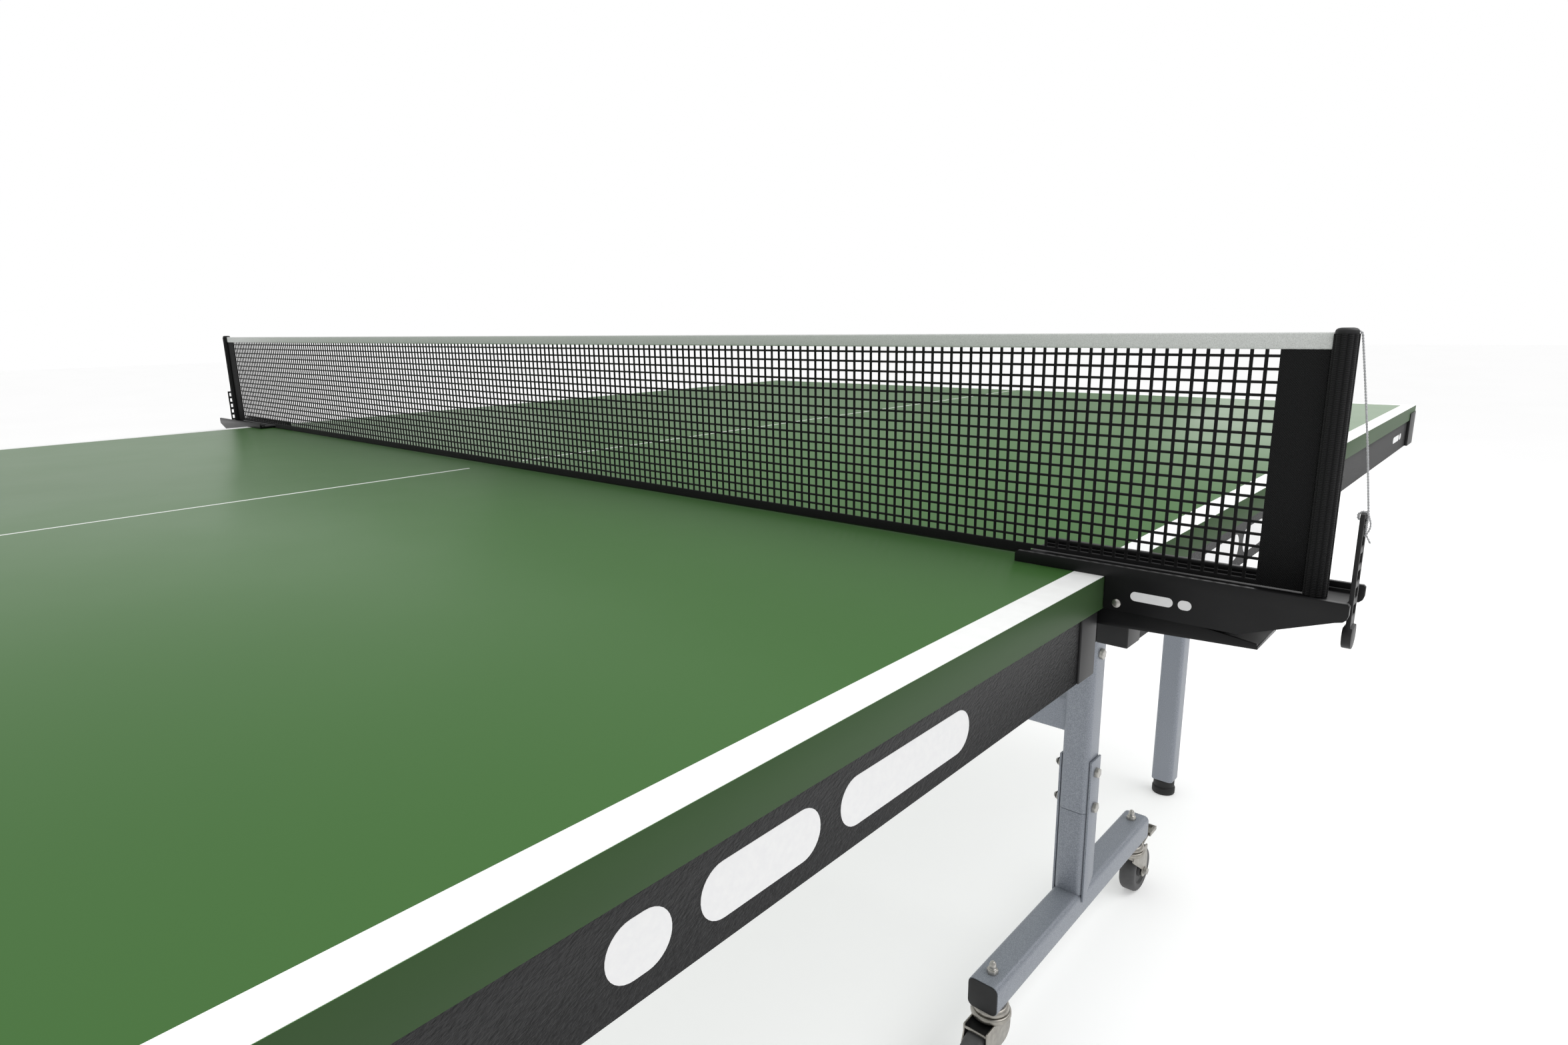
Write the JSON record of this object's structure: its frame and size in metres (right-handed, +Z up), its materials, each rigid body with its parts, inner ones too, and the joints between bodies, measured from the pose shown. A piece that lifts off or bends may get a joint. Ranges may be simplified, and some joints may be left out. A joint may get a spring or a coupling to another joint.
{
  "type": "ping pong table",
  "caption": "Roll-away ping pong table in two folding halves on castored T legs, with levelling feet on the outer legs and a clamp-on net.",
  "frame": {"origin": "on the floor under the middle of the net", "axes": "+X along the net, +Y along the table's length towards the rear half, +Z up"},
  "size_m": [1.7962, 2.748, 0.9156],
  "materials": {
    "green_top": "satin green lacquer on a particle board, white lines painted on",
    "white_line": "matt white line paint",
    "black_apron": "black leather-grain coating",
    "black_moulding": "fine satin moulding",
    "black_steel": "smooth satin black paint",
    "black_rubber": "matt moulded rubber",
    "grey_powder_coat": "fine hammered grey powder coat",
    "nickel_plate": "satin nickel plate",
    "wheel_tread": "matt dark grey tread",
    "black_netting": "knotless woven net with woven hems",
    "grey_tape": "coarse woven top tape",
    "knit_sleeve": "ribbed knit sleeve over the post",
    "grey_cord": "twisted nylon cord"
  },
  "bodies": {
    "rear_base": {"rear_right_leg_base": "grey_powder_coat", "rear_left_leg_base": "grey_powder_coat", "rear_leg_frame": "grey_powder_coat"},
    "rear_top": {"rear_board": "green_top", "rear_apron_frame": "black_apron", "rear_right_corner_bracket": "black_moulding", "rear_right_end_protector": "black_moulding", "rear_left_corner_bracket": "black_moulding", "rear_left_end_protector": "black_moulding"},
    "rear_outer_legs": {"rear_outer_leg_frame": "grey_powder_coat"},
    "rear_arms": {"rear_right_link_arm": "grey_powder_coat", "rear_left_link_arm": "grey_powder_coat"},
    "front_base": {"front_right_leg_base": "grey_powder_coat", "front_left_leg_base": "grey_powder_coat", "front_leg_frame": "grey_powder_coat"},
    "front_top": {"front_board": "green_top", "front_apron_frame": "black_apron", "front_right_corner_bracket": "black_moulding", "front_right_end_protector": "black_moulding", "front_left_corner_bracket": "black_moulding", "front_left_end_protector": "black_moulding", "net": "black_netting", "right_net_clamp": "black_steel", "right_net_post": "knit_sleeve", "right_tension_cord": "grey_cord", "left_net_clamp": "black_steel", "left_net_post": "knit_sleeve", "left_tension_cord": "grey_cord"},
    "front_outer_legs": {"front_outer_leg_frame": "grey_powder_coat"},
    "front_arms": {"front_right_link_arm": "grey_powder_coat", "front_left_link_arm": "grey_powder_coat"},
    "rear_right_inner_castor_fork": {"rear_right_inner_castor_fork": "nickel_plate"},
    "rear_right_inner_castor_wheel": {"rear_right_inner_castor_wheel": "wheel_tread"},
    "rear_right_outer_castor_fork": {"rear_right_outer_castor_fork": "nickel_plate"},
    "rear_right_outer_castor_wheel": {"rear_right_outer_castor_wheel": "wheel_tread"},
    "rear_right_outer_brake_pedal": {"rear_right_outer_brake_pedal": "nickel_plate"},
    "rear_right_levelling_foot": {"rear_right_levelling_foot": "black_rubber"},
    "rear_left_inner_castor_fork": {"rear_left_inner_castor_fork": "nickel_plate"},
    "rear_left_inner_castor_wheel": {"rear_left_inner_castor_wheel": "wheel_tread"},
    "rear_left_outer_castor_fork": {"rear_left_outer_castor_fork": "nickel_plate"},
    "rear_left_outer_castor_wheel": {"rear_left_outer_castor_wheel": "wheel_tread"},
    "rear_left_outer_brake_pedal": {"rear_left_outer_brake_pedal": "nickel_plate"},
    "rear_left_levelling_foot": {"rear_left_levelling_foot": "black_rubber"},
    "front_right_inner_castor_fork": {"front_right_inner_castor_fork": "nickel_plate"},
    "front_right_inner_castor_wheel": {"front_right_inner_castor_wheel": "wheel_tread"},
    "front_right_outer_castor_fork": {"front_right_outer_castor_fork": "nickel_plate"},
    "front_right_outer_castor_wheel": {"front_right_outer_castor_wheel": "wheel_tread"},
    "front_right_outer_brake_pedal": {"front_right_outer_brake_pedal": "nickel_plate"},
    "front_right_levelling_foot": {"front_right_levelling_foot": "black_rubber"},
    "front_left_inner_castor_fork": {"front_left_inner_castor_fork": "nickel_plate"},
    "front_left_inner_castor_wheel": {"front_left_inner_castor_wheel": "wheel_tread"},
    "front_left_outer_castor_fork": {"front_left_outer_castor_fork": "nickel_plate"},
    "front_left_outer_castor_wheel": {"front_left_outer_castor_wheel": "wheel_tread"},
    "front_left_outer_brake_pedal": {"front_left_outer_brake_pedal": "nickel_plate"},
    "front_left_levelling_foot": {"front_left_levelling_foot": "black_rubber"},
    "right_clamp_lever": {"right_clamp_lever": "black_steel"},
    "right_tension_strap": {"right_tension_strap": "black_moulding"},
    "left_clamp_lever": {"left_clamp_lever": "black_steel"},
    "left_tension_strap": {"left_tension_strap": "black_moulding"}
  },
  "joints": [
    {"name": "front_half_roll", "type": "slide", "parent": "rear_base", "child": "front_base", "axis": [0, -1, 0], "range_m": [0, 0.8]},
    {"name": "rear_fold", "type": "hinge", "parent": "rear_base", "child": "rear_top", "pos_m": [0, 0.495, 0.7], "axis": [1, 0, 0], "range_deg": [0, 90]},
    {"name": "rear_outer_leg_swing", "type": "hinge", "parent": "rear_top", "child": "rear_outer_legs", "pos_m": [0, 1.1025, 0.7], "axis": [1, 0, 0], "range_deg": [-90, 0]},
    {"name": "rear_arm_swing", "type": "hinge", "parent": "rear_base", "child": "rear_arms", "pos_m": [0, 0.5235, 0.493], "axis": [1, 0, 0], "range_deg": [0, 90]},
    {"name": "front_fold", "type": "hinge", "parent": "front_base", "child": "front_top", "pos_m": [0, -0.495, 0.7], "axis": [-1, 0, 0], "range_deg": [0, 90]},
    {"name": "front_outer_leg_swing", "type": "hinge", "parent": "front_top", "child": "front_outer_legs", "pos_m": [0, -1.1025, 0.7], "axis": [-1, 0, 0], "range_deg": [-90, 0]},
    {"name": "front_arm_swing", "type": "hinge", "parent": "front_base", "child": "front_arms", "pos_m": [0, -0.5235, 0.493], "axis": [-1, 0, 0], "range_deg": [0, 90]},
    {"name": "rear_right_inner_castor_swivel", "type": "hinge", "parent": "rear_base", "child": "rear_right_inner_castor_fork", "pos_m": [0.535, 0.2965, 0.1], "axis": [0, 0, 1], "continuous": true},
    {"name": "rear_right_inner_wheel_spin", "type": "hinge", "parent": "rear_right_inner_castor_fork", "child": "rear_right_inner_castor_wheel", "pos_m": [0.535, 0.2635, 0.0375], "axis": [1, 0, 0], "continuous": true},
    {"name": "rear_right_outer_castor_swivel", "type": "hinge", "parent": "rear_base", "child": "rear_right_outer_castor_fork", "pos_m": [0.535, 0.7505, 0.1], "axis": [0, 0, 1], "continuous": true},
    {"name": "rear_right_outer_wheel_spin", "type": "hinge", "parent": "rear_right_outer_castor_fork", "child": "rear_right_outer_castor_wheel", "pos_m": [0.535, 0.7835, 0.0375], "axis": [1, 0, 0], "continuous": true},
    {"name": "rear_right_brake_press", "type": "hinge", "parent": "rear_right_outer_castor_fork", "child": "rear_right_outer_brake_pedal", "pos_m": [0.535, 0.7795, 0.0863], "axis": [-1, 0, 0], "range_deg": [0, 10]},
    {"name": "rear_right_foot_turn", "type": "hinge", "parent": "rear_outer_legs", "child": "rear_right_levelling_foot", "pos_m": [0.466, 1.131, 0.03], "axis": [0, 0, 1], "continuous": true},
    {"name": "rear_left_inner_castor_swivel", "type": "hinge", "parent": "rear_base", "child": "rear_left_inner_castor_fork", "pos_m": [-0.535, 0.2965, 0.1], "axis": [0, 0, 1], "continuous": true},
    {"name": "rear_left_inner_wheel_spin", "type": "hinge", "parent": "rear_left_inner_castor_fork", "child": "rear_left_inner_castor_wheel", "pos_m": [-0.535, 0.2635, 0.0375], "axis": [1, 0, 0], "continuous": true},
    {"name": "rear_left_outer_castor_swivel", "type": "hinge", "parent": "rear_base", "child": "rear_left_outer_castor_fork", "pos_m": [-0.535, 0.7505, 0.1], "axis": [0, 0, 1], "continuous": true},
    {"name": "rear_left_outer_wheel_spin", "type": "hinge", "parent": "rear_left_outer_castor_fork", "child": "rear_left_outer_castor_wheel", "pos_m": [-0.535, 0.7835, 0.0375], "axis": [1, 0, 0], "continuous": true},
    {"name": "rear_left_brake_press", "type": "hinge", "parent": "rear_left_outer_castor_fork", "child": "rear_left_outer_brake_pedal", "pos_m": [-0.535, 0.7795, 0.0863], "axis": [-1, 0, 0], "range_deg": [0, 10]},
    {"name": "rear_left_foot_turn", "type": "hinge", "parent": "rear_outer_legs", "child": "rear_left_levelling_foot", "pos_m": [-0.466, 1.131, 0.03], "axis": [0, 0, 1], "continuous": true},
    {"name": "front_right_inner_castor_swivel", "type": "hinge", "parent": "front_base", "child": "front_right_inner_castor_fork", "pos_m": [0.535, -0.2965, 0.1], "axis": [0, 0, 1], "continuous": true},
    {"name": "front_right_inner_wheel_spin", "type": "hinge", "parent": "front_right_inner_castor_fork", "child": "front_right_inner_castor_wheel", "pos_m": [0.535, -0.2635, 0.0375], "axis": [1, 0, 0], "continuous": true},
    {"name": "front_right_outer_castor_swivel", "type": "hinge", "parent": "front_base", "child": "front_right_outer_castor_fork", "pos_m": [0.535, -0.7505, 0.1], "axis": [0, 0, 1], "continuous": true},
    {"name": "front_right_outer_wheel_spin", "type": "hinge", "parent": "front_right_outer_castor_fork", "child": "front_right_outer_castor_wheel", "pos_m": [0.535, -0.7835, 0.0375], "axis": [1, 0, 0], "continuous": true},
    {"name": "front_right_brake_press", "type": "hinge", "parent": "front_right_outer_castor_fork", "child": "front_right_outer_brake_pedal", "pos_m": [0.535, -0.7795, 0.0863], "axis": [1, 0, 0], "range_deg": [0, 10]},
    {"name": "front_right_foot_turn", "type": "hinge", "parent": "front_outer_legs", "child": "front_right_levelling_foot", "pos_m": [0.466, -1.131, 0.03], "axis": [0, 0, 1], "continuous": true},
    {"name": "front_left_inner_castor_swivel", "type": "hinge", "parent": "front_base", "child": "front_left_inner_castor_fork", "pos_m": [-0.535, -0.2965, 0.1], "axis": [0, 0, 1], "continuous": true},
    {"name": "front_left_inner_wheel_spin", "type": "hinge", "parent": "front_left_inner_castor_fork", "child": "front_left_inner_castor_wheel", "pos_m": [-0.535, -0.2635, 0.0375], "axis": [1, 0, 0], "continuous": true},
    {"name": "front_left_outer_castor_swivel", "type": "hinge", "parent": "front_base", "child": "front_left_outer_castor_fork", "pos_m": [-0.535, -0.7505, 0.1], "axis": [0, 0, 1], "continuous": true},
    {"name": "front_left_outer_wheel_spin", "type": "hinge", "parent": "front_left_outer_castor_fork", "child": "front_left_outer_castor_wheel", "pos_m": [-0.535, -0.7835, 0.0375], "axis": [1, 0, 0], "continuous": true},
    {"name": "front_left_brake_press", "type": "hinge", "parent": "front_left_outer_castor_fork", "child": "front_left_outer_brake_pedal", "pos_m": [-0.535, -0.7795, 0.0863], "axis": [1, 0, 0], "range_deg": [0, 10]},
    {"name": "front_left_foot_turn", "type": "hinge", "parent": "front_outer_legs", "child": "front_left_levelling_foot", "pos_m": [-0.466, -1.131, 0.03], "axis": [0, 0, 1], "continuous": true},
    {"name": "right_clamp_squeeze", "type": "hinge", "parent": "front_top", "child": "right_clamp_lever", "pos_m": [0.7715, 0, 0.7438], "axis": [0, -1, 0], "range_deg": [0, 8], "stiffness_Nm_per_rad": 1.5, "springref_deg": -20.05},
    {"name": "right_strap_pull", "type": "slide", "parent": "front_top", "child": "right_tension_strap", "axis": [0, 0, 1], "range_m": [-0.02, 0.008], "deforming": ["right_tension_cord"]},
    {"name": "left_clamp_squeeze", "type": "hinge", "parent": "front_top", "child": "left_clamp_lever", "pos_m": [-0.7715, 0, 0.7438], "axis": [0, 1, 0], "range_deg": [0, 8], "stiffness_Nm_per_rad": 1.5, "springref_deg": -20.05},
    {"name": "left_strap_pull", "type": "slide", "parent": "front_top", "child": "left_tension_strap", "axis": [0, 0, 1], "range_m": [-0.02, 0.008], "deforming": ["left_tension_cord"]}
  ],
  "couplings": [
    {"joint": "rear_outer_leg_swing", "follows": "rear_fold", "ratio": -1},
    {"joint": "rear_arm_swing", "follows": "rear_fold", "ratio": 1},
    {"joint": "front_outer_leg_swing", "follows": "front_fold", "ratio": -1},
    {"joint": "front_arm_swing", "follows": "front_fold", "ratio": 1},
    {"joint": "front_half_roll", "follows": "front_fold", "m_per_rad": 0.45}
  ]
}
